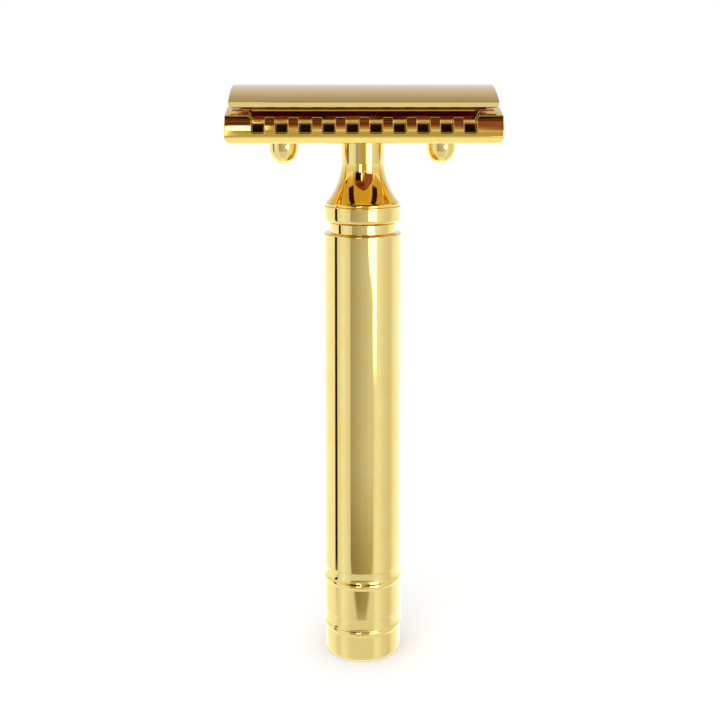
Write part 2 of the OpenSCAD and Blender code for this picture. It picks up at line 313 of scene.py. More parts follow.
def smooth(obj):
    """Smooth shading led by the large faces, so that flats stay flat."""
    obj.data.polygons.foreach_set("use_smooth", [True] * len(obj.data.polygons))
    weigh = obj.modifiers.new("normals", "WEIGHTED_NORMAL")
    weigh.mode = "FACE_AREA"
    weigh.weight = 80
    weigh.keep_sharp = False
    bake(obj)


def finish_piece(obj, materials, body, node):
    """Gives a piece its materials and body, and hides the CAD node it stands for."""
    for material in materials:
        obj.data.materials.append(material)
    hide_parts(node)
    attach(obj, body)


# ------------------------------------------------------------- node shorthand
class Graph:
    """Short names for building a shader node tree."""

    def __init__(self, tree):
        self.tree = tree
        tree.nodes.clear()

    def node(self, kind, **settings):
        made = self.tree.nodes.new(kind)
        for key, value in settings.items():
            setattr(made, key, value)
        return made

    def link(self, source, target):
        self.tree.links.new(source, target)

    def feed(self, socket, value):
        """Links a socket, or sets it to a number or an (r, g, b) colour."""
        if isinstance(value, bpy.types.NodeSocket):
            self.link(value, socket)
        elif isinstance(value, tuple):
            socket.default_value = (*value, 1.0)
        elif value is not None:
            socket.default_value = value

    def math(self, operation, a, b=None, c=None, clamp=False):
        made = self.node("ShaderNodeMath", operation=operation, use_clamp=clamp)
        for socket, value in zip(made.inputs, (a, b, c)):
            self.feed(socket, value)
        return made.outputs[0]

    def rise(self, value, low, high):
        """0 below low, 1 above high, smooth between."""
        made = self.node("ShaderNodeMapRange", interpolation_type="SMOOTHSTEP")
        for socket, v in zip(made.inputs, (value, low, high, 0.0, 1.0)):
            self.feed(socket, v)
        return made.outputs[0]

    def between(self, value, low, high, soft):
        """1 between two limits, 0 outside, with soft shoulders."""
        up = self.rise(value, self.math("SUBTRACT", low, soft), low)
        down = self.rise(value, high, self.math("ADD", high, soft))
        return self.math("MULTIPLY", up, self.math("SUBTRACT", 1.0, down))

    def mix(self, factor, a, b, blend="MIX"):
        made = self.node("ShaderNodeMix", data_type="RGBA", blend_type=blend)
        self.feed(made.inputs[0], factor)
        self.feed(made.inputs[6], a)
        self.feed(made.inputs[7], b)
        return made.outputs[2]

    def ramp(self, value, stops):
        """Colours along a 0 to 1 value, from (place, colour) stops."""
        made = self.node("ShaderNodeValToRGB")
        ramp = made.color_ramp
        while len(ramp.elements) < len(stops):
            ramp.elements.new(0.5)
        for element, (place, colour) in zip(ramp.elements, stops):
            element.position = place
            element.color = (*colour, 1.0)
        self.feed(made.inputs[0], value)
        return made.outputs[0]

    def noise(self, vector, scale, detail=2.0, roughness=0.5):
        made = self.node("ShaderNodeTexNoise")
        self.feed(made.inputs["Vector"], vector)
        made.inputs["Scale"].default_value = scale
        made.inputs["Detail"].default_value = detail
        made.inputs["Roughness"].default_value = roughness
        return made.outputs["Fac"]


# ------------------------------------------------------------------ materials
GOLD = (0.97, 0.79, 0.31)
DEEP_GOLD = (0.96, 0.75, 0.26)
STEEL = (0.62, 0.63, 0.66)
DEEP_STEEL = (0.52, 0.54, 0.58)
# Where other metal mirrors it, metal takes a painted reflection colour: gold seen in gold
# a deep amber, and the clamped blade a painted dark shade, so that it shows only as a dark
# gap
GOLD_REFLECTION_TINT = (0.80, 0.47, 0.06)
STEEL_GAP_SHADE = (0.26, 0.055, 0.04)


def new_material(name):
    material = bpy.data.materials.new(name)
    material.use_nodes = True
    return material, Graph(material.node_tree)


def coordinates(g, stretch):
    """The object's own coordinates, plain and with each axis scaled."""
    place = g.node("ShaderNodeTexCoord").outputs["Object"]
    along = g.node("ShaderNodeMapping")
    g.link(place, along.inputs["Vector"])
    along.inputs["Scale"].default_value = stretch
    return place, along.outputs[0]


def metal(g, tone, mirrored, shine, height, strength, distance):
    """Bare metal, which takes a painted reflection colour in place of its own where other
    metal mirrors it.
    """
    in_mirror = g.node("ShaderNodeLightPath").outputs["Is Glossy Ray"]
    bump = g.node("ShaderNodeBump")
    bump.inputs["Strength"].default_value = strength
    bump.inputs["Distance"].default_value = distance
    g.link(height, bump.inputs["Height"])
    surface = g.node("ShaderNodeBsdfPrincipled")
    surface.inputs["Metallic"].default_value = 1.0
    g.link(g.mix(in_mirror, tone, mirrored), surface.inputs["Base Color"])
    g.link(shine, surface.inputs["Roughness"])
    g.link(bump.outputs[0], surface.inputs["Normal"])
    g.link(surface.outputs[0], g.node("ShaderNodeOutputMaterial").inputs[0])


def gold(name, stretch, roughness=0.035):
    """Mirror-polished gold plate.

    Fine polishing lines run along the axis that stretch makes long, faint
    cloudy patches vary the shine and the colour, and tiny pits show in places.
    """
    material, g = new_material(name)
    place, along = coordinates(g, stretch)
    lines = g.noise(along, 9000.0, 3.0, 0.6)
    cloud = g.noise(place, 260.0, 3.0, 0.55)
    pit = g.node("ShaderNodeTexVoronoi", feature="F1")
    g.link(place, pit.inputs["Vector"])
    pit.inputs["Scale"].default_value = 900.0
    pits = g.math("SUBTRACT", 1.0, g.rise(pit.outputs["Distance"], 0.02, 0.09))
    pits = g.math("MULTIPLY", pits, g.rise(g.noise(place, 410.0), 0.56, 0.7))

    tone = g.mix(g.rise(cloud, 0.3, 0.8), GOLD, DEEP_GOLD)
    shine = g.math("MULTIPLY_ADD", g.rise(cloud, 0.35, 0.75), 0.03, roughness)
    shine = g.math("MULTIPLY_ADD", g.rise(lines, 0.45, 0.8), 0.03, shine)
    shine = g.math("MULTIPLY_ADD", pits, 0.25, shine)
    height = g.math("MULTIPLY", lines, 0.35)
    height = g.math("MULTIPLY_ADD", cloud, 0.8, height)
    height = g.math("MULTIPLY_ADD", pits, -1.2, height)
    # Where other metal mirrors it, the gold is painted a deep amber reflection tint
    metal(g, tone, GOLD_REFLECTION_TINT, shine, height, 0.05, 0.00002)
    return material


def steel(name, stretch, roughness):
    """Blade steel, with fine rolling or grinding lines."""
    material, g = new_material(name)
    place, along = coordinates(g, stretch)
    lines = g.noise(along, 16000.0, 4.0, 0.65)
    tone = g.mix(g.rise(g.noise(place, 300.0, 3.0), 0.3, 0.8), STEEL, DEEP_STEEL)
    shine = g.math("MULTIPLY_ADD", lines, 0.04, roughness)
    # Where the gold mirrors it, the blade is painted a dark shade, which shows as a gap
    # under the cap
    metal(g, tone, STEEL_GAP_SHADE, shine, lines, 0.25, 0.00001)
    return material


# --------------------------------------------------------------------- handle
def bead_path(z, crest, below_r, cove_top):
    """Outline of one bead and the shallow cove over it, from the bottom up."""
    cx = crest - BEAD_R
    start = -math.degrees(math.acos((below_r + 0.01 - cx) / BEAD_R))
    lip_angle = 27.0
    path = arc(cx, z, BEAD_R, start, lip_angle, 5.0)
    lip_r, lip_z = path[-1]
    # The cove curves in from the lip to a straight wall
    sweep = math.degrees(math.acos(1 - (lip_r - 0.02 - COVE_R) / COVE_CURVE_R))
    cove_z = lip_z + 0.03 + COVE_CURVE_R * math.sin(math.radians(sweep))
    cove = arc(COVE_R + COVE_CURVE_R, cove_z, COVE_CURVE_R, 180 + sweep, 180, 3.0)
    path.append((lip_r - 0.015, lip_z + 0.012))
    path += cove
    path.append((COVE_R, cove_top - 0.06))
    return path


def handle_outline():
    """From the middle of the foot, up the outside, down into the tapped hole."""
    out = rounded([(0, 0, 0), (END_R, 0, FOOT_ROUND), (END_R, LOW_BEAD[0] - 0.7, 0)], 6.0)
    out += bead_path(*LOW_BEAD, END_R, RING_Z)
    out += [(COVE_R + 0.01, RING_Z - 0.02), (RING_R, RING_Z + 0.02),
            (RING_R, RING_Z + 0.07), (RING_R, HIGH_BEAD[0] - 0.6)]
    out += bead_path(*HIGH_BEAD, RING_R, BARREL_Z0)
    out += [(COVE_R + 0.01, BARREL_Z0 - 0.02), (BARREL_R - 0.03, BARREL_Z0 + 0.01)]
    out += rounded([
        (BARREL_R - 0.03, BARREL_Z0 + 0.01, 0),
        (BARREL_R, BARREL_Z0 + 0.08, 0.05),
        (BARREL_R, BARREL_TOP, 0.3),
        (GROOVE_R, BARREL_TOP, 0.10),
        (GROOVE_R, COLLAR_LOW, 0.08),
        (COLLAR_R, COLLAR_LOW, COLLAR_ROUND),
        (COLLAR_R, COLLAR_TOP, 0.2),
        (FLARE_END_R, COLLAR_TOP, 0.02),
        (FLARE_END_R, COLLAR_TOP + 0.1, 0),
    ], 8.0)[1:]
    low = math.degrees(math.acos((NECK_R + FLARE_R - FLARE_END_R) / FLARE_R))
    out += arc(NECK_R + FLARE_R, FLARE_TOP, FLARE_R, 180 + low, 180, 1.5)
    bore_floor = STUD_LOW.z - 0.4
    out += rounded([
        (NECK_R, FLARE_TOP, 0),
        (NECK_R, HANDLE_TOP, 0.15),
        (NECK_BORE_R + 0.25, HANDLE_TOP, 0.03),
        (NECK_BORE_R, HANDLE_TOP - 0.25, 0.03),
    ], 12.0)[1:]
    bore_z = HANDLE_TOP - 0.3
    rows = round((bore_z - bore_floor) / THREAD_PITCH * 8)
    out += [(NECK_BORE_R, bore_z - (bore_z - bore_floor) * i / rows)
            for i in range(rows + 1)]
    out += [(0, bore_floor - 1.2)]
    return out


def thread_wave(a, z):
    """0 at a thread's root, 1 at its crest, for an angle and a height."""
    phase = (z / THREAD_PITCH - a / (2 * math.pi)) % 1.0
    return max(0.0, min(1.0, 1.15 - abs(phase - 0.5) * 2.9))


def make_handle(material):
    bore_top = HANDLE_TOP - 0.35

    def radius_at(a, r, z):
        # The tapped hole's thread is cut outwards from the plain bore
        if r == NECK_BORE_R and z < bore_top:
            fade = min(1.0, (bore_top - z) / 0.6)
            return r + TAPPED_DEPTH * (1 - thread_wave(a, z)) * fade
        return r

    obj = lathe("razor_handle", handle_outline(), 192, radius_at=radius_at)
    smooth(obj)
    finish_piece(obj, [material], "handle", "handle")


# ----------------------------------------------------------------- comb plate
def block_outline():
    """Cross-section of the plate's end blocks, counter-clockwise from below."""
    nose_y = PLATE_HALF_W - NOSE_R
    nose_z = PLATE_Z + BEVEL_H + NOSE_LIFT
    arch_z = PLATE_Z + PLATE_H - PLATE_ARCH_R
    # Where the nose meets the arch over it
    d = math.hypot(nose_y, nose_z - arch_z)
    along = (PLATE_ARCH_R ** 2 - NOSE_R ** 2 + d * d) / (2 * d)
    off = math.sqrt(PLATE_ARCH_R ** 2 - along ** 2)
    uy, uz = nose_y / d, (nose_z - arch_z) / d
    meet_y = uy * along + uz * off
    meet_z = arch_z + uz * along - uy * off
    top = math.degrees(math.atan2(meet_z - nose_z, meet_y - nose_y))
    low = -math.degrees(math.asin(NOSE_LIFT / NOSE_R))
    arch_a = math.degrees(math.atan2(meet_z - arch_z, meet_y))
    right = [(PLATE_HALF_W - BEVEL_W, PLATE_Z)]
    right += arc(nose_y, nose_z, NOSE_R, low, top, 2.0)
    right += arc(0, arch_z, PLATE_ARCH_R, arch_a, 90, 0.5)[1:]
    left = [(-y, z) for y, z in reversed(right[:-1])]
    return right + left


def plate_front_outline():
    half = PLATE_LEN / 2
    high = PLATE_Z + PLATE_H + 1
    r = PLATE_CORNER_R
    return ([(-half, high)] + arc(-half + r, PLATE_Z + r, r, 180, 270, 6.0)
            + arc(half - r, PLATE_Z + r, r, 270, 360, 6.0) + [(half, high)])


def make_slot_tool(x, side):
    """One slot: its floor slopes down to the front, its teeth's corners are rounded."""
    half, r = SLOT_W / 2, TOOTH_ROUND
    front, high = PLATE_HALF_W + 0.5, TOOTH_TOP + 3
    slope = SLOT_CLIMB / (PLATE_HALF_W - TOOTH_Y)
    profile = [(TOOTH_Y, SLOT_FLOOR + SLOT_CLIMB), (front, SLOT_FLOOR - 0.5 * slope),
               (front, high), (TOOTH_Y, high)]
    tool = prism("slot", [(side * y, z) for y, z in profile], 2 * (half + r), at=x)
    right = arc(x + half + r, TOOTH_TOP - r, r, 180, 90, 9.0)
    left = arc(x - half - r, TOOTH_TOP - r, r, 90, 0, 9.0)
    outline = ([(x - half, PLATE_Z), (x + half, PLATE_Z)] + right
               + [(x + half + r, high + 1), (x - half - r, high + 1)] + left)
    return combine(tool, prism("slot_front", outline, 40, "y"), "INTERSECT")


def make_trough_tool(side):
    """The hollow behind one comb, with slanted ends."""
    high = PLATE_Z + PLATE_H + 2
    hollow = [(BED_Y, high), (BED_Y, WALL_Z), (BED_Y + WALL_SLANT, TROUGH_FLOOR),
              (TOOTH_Y - 2 * RIDGE_W, TROUGH_FLOOR), (TOOTH_Y - RIDGE_W, RIDGE_Z),
              (TOOTH_Y, RIDGE_Z), (TOOTH_Y, high)]
    tool = prism("trough", [(side * y, z) for y, z in hollow], TROUGH_LEN)
    half = TROUGH_LEN / 2
    low_half = half - TROUGH_SLANT
    ends = [(-low_half, TROUGH_FLOOR - 1), (low_half, TROUGH_FLOOR - 1),
            (low_half, TROUGH_FLOOR), (half, WALL_Z), (half, high + 1),
            (-half, high + 1), (-half, WALL_Z), (-low_half, TROUGH_FLOOR)]
    limit = prism("trough_ends", ends, 8, "y", side * (BED_Y + TOOTH_Y) / 2)
    return combine(tool, limit, "INTERSECT")


def boss_outline():
    tip_z = PLATE_LOW.z - 0.02
    rise = BOSS_ROOT_Z - tip_z
    ogive_r = (BOSS_R ** 2 + rise ** 2) / (2 * BOSS_R)
    end = math.degrees(math.asin((rise - 0.16) / ogive_r))
    side = arc(BOSS_R - ogive_r, BOSS_ROOT_Z, ogive_r, -end, 0, 3.0)
    tip_r = side[0][0]
    tip = [(tip_r * k, PLATE_LOW.z + 0.14 * k ** 2) for k in (0.0, 0.3, 0.6, 0.85)]
    return tip + side + [(BOSS_R, PLATE_Z + 0.5), (0, PLATE_Z + 0.5)]


def make_base_plate(material):
    plate = prism("comb_base_plate", block_outline(), PLATE_LEN)
    combine(plate, prism("front", plate_front_outline(), 40, "y"), "INTERSECT")
    comb_half = SLOT_X[-1] + SLOT_W / 2
    over = box_outline(-comb_half, TOOTH_TOP, comb_half, TOOTH_TOP + 5)
    for side in (-1, 1):
        over_teeth = prism("over_teeth", over, 6, "y", side * (TOOTH_Y + 2.5))
        combine(plate, over_teeth, "DIFFERENCE")
        for x in SLOT_X:
            combine(plate, make_slot_tool(x, side), "DIFFERENCE")
        combine(plate, make_trough_tool(side), "DIFFERENCE")
    edge = math.degrees(math.acos(BED_Y / BED_R))
    bed = [(-BED_Y, PLATE_Z + 1), (BED_Y, PLATE_Z + 1)]
    bed += arc(0, CLAMP_AXIS_Z, BED_R, edge, 180 - edge, 1.0)
    combine(plate, prism("bed", bed, TROUGH_LEN), "UNION")
    for side in (-1, 1):
        combine(plate, lathe("boss", boss_outline(), 96, (side * BOSS_X, 0.0)), "UNION")
    holes = [(0.0, STUD_HOLE_R, PLATE_Z - 1)]
    holes += [(side * BOSS_X, PIN_BORE_R, PIN_LOW.z - 0.2) for side in (-1, 1)]
    for x, r, low in holes:
        ring = [(0, low), (r, low), (r, low + 20), (0, low + 20)]
        combine(plate, lathe("hole", ring, 64, (x, 0.0)), "DIFFERENCE")
    # Lines just beside the roundings of the slots' edges
    beside = PLATE_EDGE_R + 0.015
    holds = [x + side * (SLOT_W / 2 + away)
             for x in SLOT_X for side in (-1, 1) for away in (-beside, beside)]
    polish(plate, PLATE_EDGE_R, 18.0, holds)
    finish_piece(plate, [material], "plate", "base_plate")


# ------------------------------------------------------------------------ cap
def cap_outline():
    rise = CROWN_Z - LIP_Z - LIP_H
    arch_r = (CAP_HALF_W ** 2 + rise ** 2) / (2 * rise)
    edge = math.degrees(math.acos(CAP_HALF_W / arch_r))
    outer = arc(0, CROWN_Z - arch_r, arch_r, edge, 180 - edge, 0.8)
    land_y = math.sqrt(CLAMP_R ** 2 - (LIP_Z - CLAMP_AXIS_Z) ** 2)
    inner_edge = math.degrees(math.acos(land_y / CLAMP_R))
    inner = arc(0, CLAMP_AXIS_Z, CLAMP_R, 180 - inner_edge, inner_edge, 0.8)
    # The lip leans in and its lower corner is rounded
    lip = [(CAP_HALF_W, LIP_Z + LIP_H, 0), (CAP_HALF_W - LIP_UNDERCUT, LIP_Z, 0.17),
           (land_y, LIP_Z, 0)]
    corner = rounded(lip, 10.0)[1:-1]
    left = [(-y, z) for y, z in corner]
    return outer + left + inner + list(reversed(corner))


def make_cap(material):
    cap = prism("arched_cap", cap_outline(), CAP_LEN)
    half = CAP_LEN / 2
    front = [(-half + CAP_BEVEL, LIP_Z - 1), (half - CAP_BEVEL, LIP_Z - 1),
             (half - CAP_BEVEL, LIP_Z), (half, LIP_Z + CAP_BEVEL), (half, CROWN_Z + 1),
             (-half, CROWN_Z + 1), (-half, LIP_Z + CAP_BEVEL), (-half + CAP_BEVEL, LIP_Z)]
    combine(cap, prism("front", front, 40, "y"), "INTERSECT")
    polish(cap, CAP_EDGE_R)
    finish_piece(cap, [material], "cap", "top_cap")


# ------------------------------------------------------------- stud and pins
def make_stud(material):
    low, high = STUD_LOW.z, STUD_HIGH.z
    root = THREAD_R - THREAD_DEPTH
    start, end = low + 0.5, THREAD_TOP
    rows = round((end - start) / THREAD_PITCH * 10)
    outline = [(0, low), (root - 0.4, low), (root, low + 0.4)]
    outline += [(root, start + (end - start) * i / rows) for i in range(rows + 1)]
    outline += rounded([(root, end + 0.02, 0), (root, STUD_NECK_Z, 0.05),
                        (STUD_NECK_R, STUD_NECK_Z, 0.05), (STUD_NECK_R, high, 0)])
    outline += [(0, high)]

    def radius_at(a, r, z):
        if r != root or not start <= z <= end:
            return r
        fade = min(1.0, (z - start) / 0.7, (end - z) / 0.5)
        return r + THREAD_DEPTH * thread_wave(a, z) * max(0.0, fade)

    obj = lathe("screw_stud", outline, 96, radius_at=radius_at)
    smooth(obj)
    finish_piece(obj, [material], "cap", "threaded_stud")


def make_pin(side, material):
    r = (PIN_HIGH.x - PIN_LOW.x) / 2
    outline = rounded([(0, PIN_LOW.z, 0), (r - 0.5, PIN_LOW.z, 0.25),
                       (r, PIN_LOW.z + 0.5, 0.25), (r, PIN_HIGH.z, 0)])
    outline += [(0, PIN_HIGH.z)]
    word = "right" if side > 0 else "left"
    obj = lathe(f"pin_{word}", outline, 64, (side * BOSS_X, 0.0))
    smooth(obj)
    finish_piece(obj, [material], "cap", f"guide_pin_{word}")


# ---------------------------------------------------------------------- blade
def blade_loops():
    """Outer outline and holes of the flat blade, before it is bent."""
    half_l, half_e, half_t, half_w = BLADE_LEN / 2, EDGE_LEN / 2, TAB_W / 2, BLADE_W / 2
    quarter = [(half_e, half_w - 0.4), (half_e - 0.4, half_w)]
    corner = [(half_l, half_t - 0.5), (half_l - 0.5, half_t), (half_e + 0.2, half_t),
              (half_e, half_t + 0.2)]
    right_top = corner + quarter
    right_low = [(x, -y) for x, y in reversed(right_top)]
    left_top = [(-x, y) for x, y in reversed(right_top)]
    left_low = [(-x, -y) for x, y in right_top]
    outer = right_low + right_top + left_top + left_low
    slot_half, slot_y = half_l - 3.6, 0.95
    stud_r, pin_r = THREAD_R + 0.4, (PIN_HIGH.x - PIN_LOW.x) / 2 + 0.2
    a = math.degrees(math.asin(slot_y / stud_r))
    b = math.degrees(math.asin(slot_y / pin_r))
    upper = [(slot_half, slot_y)]
    upper += arc(BOSS_X, 0, pin_r, b, 180 - b, 10.0)
    upper += arc(0, 0, stud_r, a, 180 - a, 10.0)
    upper += arc(-BOSS_X, 0, pin_r, b, 180 - b, 10.0)
    upper += [(-slot_half, slot_y)]
    lower = [(-x, -y) for x, y in upper]
    return outer, upper + lower


def arch_normals(mesh):
    """Shades the blade's two faces as smooth arches across their triangles."""
    normals = []
    for face in mesh.polygons:
        for index in face.vertices:
            co = mesh.vertices[index].co
            outward = Vector((0, co.y, co.z - CLAMP_AXIS_Z * MM)).normalized()
            facing = face.normal.dot(outward)
            if face.material_index == 0 and abs(facing) > 0.9:
                normals.append(outward * math.copysign(1, facing))
            else:
                normals.append(face.normal.copy())
    mesh.normals_split_custom_set(normals)


def make_blade(face, ground):
    """Two flat sheets cut to shape, sliced into strips, bent and joined up."""
    outer, hole = blade_loops()
    bm = bmesh.new()
    edges = []
    for loop in (outer, hole):
        verts = [bm.verts.new((x, y, 0)) for x, y in loop]
        edges += [bm.edges.new((verts[k], verts[(k + 1) % len(verts)]))
                  for k in range(len(verts))]
    bmesh.ops.triangle_fill(bm, use_beauty=True, edges=edges)
    grind_y = BLADE_W / 2 - GRIND_W
    strips = [i * STRIP_W for i in range(-STRIP_CUTS, STRIP_CUTS + 1)]
    for y in [-grind_y, grind_y] + strips:
        bmesh.ops.bisect_plane(bm, geom=everything(bm), dist=1e-5,
                               plane_co=(0, y, 0), plane_no=(0, 1, 0))
    bmesh.ops.recalc_face_normals(bm, faces=bm.faces)
    if sum(f.normal.z for f in bm.faces) < 0:
        bmesh.ops.reverse_faces(bm, faces=bm.faces)
    under = bmesh.ops.duplicate(bm, geom=everything(bm))["geom"]
    low_verts = {e for e in under if isinstance(e, bmesh.types.BMVert)}
    low_faces = [e for e in under if isinstance(e, bmesh.types.BMFace)]
    bmesh.ops.reverse_faces(bm, faces=low_faces)
    for v in bm.verts:
        x, y = v.co.x, v.co.y
        # Ground thin towards the edges
        room = max(0.0, BLADE_W / 2 - abs(y))
        half_t = BLADE_T / 2 * min(1.0, 0.06 + 0.94 * room / GRIND_W)
        r = BLADE_MID_R + (-half_t if v in low_verts else half_t)
        a = y / BLADE_MID_R
        v.co = (x, r * math.sin(a), CLAMP_AXIS_Z + r * math.cos(a))
    rims = [e for e in bm.edges if len(e.link_faces) == 1]
    bmesh.ops.bridge_loops(bm, edges=rims)
    limit = BLADE_MID_R * math.sin(grind_y / BLADE_MID_R)
    for f in bm.faces:
        f.material_index = 1 if abs(f.calc_center_median().y) > limit else 0
        f.smooth = f.material_index == 0
    obj = add_object("edge_blade", bm)
    arch_normals(obj.data)
    finish_piece(obj, [face, ground], "blade", "razor_blade")


# ------------------------------------------------------- floor, light, camera
def make_floor():
    outline = box_outline(-3000, -3000, 3000, 3000)
    floor = prism("floor", outline, 2, "z", -1.0)
    material, g = new_material("pale_floor")
    matte = g.node("ShaderNodeBsdfDiffuse")
    g.feed(matte.inputs["Color"], (0.95, 0.95, 0.95))
    # Away from the razor the sheet glows as brightly as the backdrop behind it
    glow = g.node("ShaderNodeEmission")
    away = g.node("ShaderNodeVectorMath", operation="LENGTH")
    g.link(g.node("ShaderNodeTexCoord").outputs["Object"], away.inputs[0])
    blend = g.node("ShaderNodeMixShader")
    g.link(g.rise(away.outputs["Value"], 0.02, 0.12), blend.inputs[0])
    g.link(matte.outputs[0], blend.inputs[1])
    g.link(glow.outputs[0], blend.inputs[2])
    g.link(blend.outputs[0], g.node("ShaderNodeOutputMaterial").inputs[0])
    floor.data.materials.append(material)
    # The metal mirrors the studio below, not the floor sheet
    floor.visible_glossy = False


def make_light(name, place, aim, size, power):
    data = bpy.data.lights.new(name, "AREA")
    data.shape = "DISK"
    data.size = size
    data.energy = power
    light = bpy.data.objects.new(name, data)
    light.location = place
    towards = Vector(aim) - Vector(place)
    light.rotation_euler = towards.to_track_quat("-Z", "Y").to_euler()
    light.visible_glossy = False
    bpy.context.scene.collection.objects.link(light)


def grey(value, warmth=0.0):
    """A grey, yellower with more warmth and bluer with less than none."""
    return (value, value * (1 - 0.25 * warmth), value * (1 - 0.6 * warmth))


def make_studio():
    """The studio that the polished gold mirrors, as a function of direction.

    Azimuth 0 faces the front of the razor and grows towards +X. Below the
    horizon is a white table with a darker shape in front. Above it are a dim
    warm wall in front, brighter sides, a pale backdrop, a dark band over them
    and a soft ceiling. Three lamps stand in front. Anything but a mirror ray
    sees plain white.
    """
    world = bpy.data.worlds.new("studio")
    bpy.context.scene.world = world
    world.use_nodes = True
    g = Graph(world.node_tree)
    ray = g.node("ShaderNodeTexCoord").outputs["Generated"]
    split = g.node("ShaderNodeSeparateXYZ")
    g.link(ray, split.inputs[0])
    x, y, z = split.outputs
    to_degrees = 180 / math.pi
    az = g.math("MULTIPLY", g.math("ARCTAN2", x, g.math("MULTIPLY", y, -1.0)), to_degrees)
    el = g.math("MULTIPLY", g.math("ARCSINE", z), to_degrees)
    aside = g.math("ABSOLUTE", az)
    below = g.math("MULTIPLY", el, -1.0)
    paths = g.node("ShaderNodeLightPath")
    # Rays that metal has already mirrored at least twice, which get painted shade below
    deep = g.math("GREATER_THAN", paths.outputs["Ray Depth"], 2.5)
    lamp = (3.0, 2.9, 2.7)
    ceiling = (0.50, 0.44, 0.30)
    night = (0.01, 0.003, 0.0)

    def round_about(*stops):
        return g.ramp(g.math("MULTIPLY_ADD", az, 1 / 360, 0.5),
                      [(degrees / 360 + 0.5, colour) for degrees, colour in stops])

    def upwards(*stops):
        return g.ramp(g.math("MULTIPLY", el, 1 / 90),
                      [(degrees / 90, colour) for degrees, colour in stops])

    def patch(across, blur_across, up, blur_up, around=az):
        """1 in a range of azimuths and elevations, 0 outside, with soft edges."""
        return g.math("MULTIPLY", g.between(around, *across, blur_across),
                      g.between(el, *up, blur_up))

    # The white table, a little uneven from side to side
    table = round_about(
        (-180, grey(1.4, -0.3)), (-130, grey(1.02, -0.2)), (-98, grey(0.96)),
        (-84, grey(0.74)), (-62, grey(0.94, -0.1)), (-44, grey(0.79)),
        (-36, grey(0.74)), (31, grey(0.76)), (36, grey(0.9)), (47, grey(0.93)),
        (64, grey(0.78)), (88, grey(0.71, 0.2)), (102, grey(0.92, -0.1)),
        (130, grey(1.05, -0.4)), (180, grey(1.4, -0.3)))
    # The darker shape in front, which narrows to a point low down
    taper = g.math("SQRT", g.math("MULTIPLY_ADD", el, 1 / 2.8, 26.1 / 2.8, clamp=True))
    spread = g.math("MULTIPLY", taper, 32.0)
    shade = g.between(az, g.math("SUBTRACT", -5.0, spread),
                      g.math("ADD", -3.5, spread), 1.5)
    shade = g.math("MULTIPLY", shade, g.rise(el, -26.1, -25.7))
    olive = round_about(
        (-37, grey(0.40, 0.4)), (-28, grey(0.44, 0.3)), (-14, grey(0.49, 0.15)),
        (-5, grey(0.55)), (8, grey(0.61, 0.1)), (20, grey(0.70)), (30, grey(0.66)))
    olive = g.mix(g.rise(below, 18.0, 25.0), olive, (0.6, 0.52, 0.30), "MULTIPLY")
    low = g.mix(shade, table, olive)
    seam = g.math("MULTIPLY", g.between(az, -91.0, -83.0, 1.5), g.rise(el, -25.0, -23.0))
    low = g.mix(seam, low, (0.02, 0.01, 0.005))
    # Two dark patches near the foot, seen only by rays mirrored at least twice: painted
    # shade on the lower flare where it mirrors the plate's underside
    foot = patch((48.0, 68.0), 5.0, (-66.0, -36.0), 5.0, aside)
    low = g.mix(g.math("MULTIPLY", foot, deep), low, (0.03, 0.01, 0.0))
    near = g.math("MULTIPLY", g.rise(below, 66.0, 72.0), g.math("LESS_THAN", aside, 90.0))
    low = g.mix(near, low, (1.0, 0.97, 0.75))

    # The wall in front, with a paler strip along it
    strip = g.mix(g.rise(az, -4.5, -1.0), (0.29, 0.22, 0.08), (0.70, 0.58, 0.33))
    front = upwards(
        (0, (0.49, 0.38, 0.14)), (9, (0.48, 0.37, 0.13)), (22, (0.45, 0.33, 0.15)),
        (27, (0.26, 0.10, 0.04)), (30, (0.22, 0.06, 0.02)), (33, (0.15, 0.03, 0.01)),
        (38, (0.145, 0.017, 0.002)), (42, (0.19, 0.08, 0.04)), (47, (0.09, 0.05, 0.02)),
        (53, (0.03, 0.013, 0.005)), (57, night), (67, night), (73, ceiling), (90, ceiling))
    front = g.mix(g.between(el, 11.5, 18.0, 1.5), front, strip)
    # Painted shade: rays mirrored at least twice see the low front wall dark brown, which
    # darkens the barrel's top face and the collar's top
    front = g.mix(g.math("MULTIPLY", g.between(el, -3.0, 20.0, 3.0), deep), front,
                  (0.20, 0.09, 0.03))
    # What hangs on the wall shows in the trough as patches of red and orange
    hangings = round_about(
        (-5, (0.16, 0.021, 0.012)), (-3.2, (0.18, 0.03, 0.015)),
        (-2.2, (0.03, 0.004, 0.005)), (-0.4, (0.025, 0.003, 0.004)),
        (0.5, (0.26, 0.07, 0.04)), (2.1, (0.26, 0.065, 0.035)),
        (2.7, (0.034, 0.004, 0.006)), (5.0, (0.03, 0.003, 0.005)),
        (5.6, (0.22, 0.05, 0.024)), (6.4, (0.11, 0.013, 0.012)))
    front = g.mix(g.between(el, 42.6, 45.2, 0.4), front, hangings)
    wings = upwards(
        (0, grey(0.90)), (5, grey(0.80, 0.2)), (12, (0.74, 0.60, 0.34)),
        (17, (0.55, 0.38, 0.11)), (30, (0.42, 0.24, 0.06)), (45, (0.20, 0.07, 0.02)),
        (60, night), (67, night), (73, ceiling), (90, ceiling))
    back = upwards(
        (0, (0.88, 0.92, 1.1)), (13, (0.78, 0.80, 0.97)), (23, (0.70, 0.69, 0.86)),
        (33, (0.65, 0.60, 0.75)), (41, (0.59, 0.525, 0.65)), (50, (0.46, 0.41, 0.46)),
        (56, (0.42, 0.35, 0.36)), (63, (0.40, 0.32, 0.32)), (68, (0.01, 0.004, 0.0)),
        (80, night), (84, ceiling), (90, ceiling))
    high = g.mix(g.rise(aside, 28.0, 44.0), front, wings)
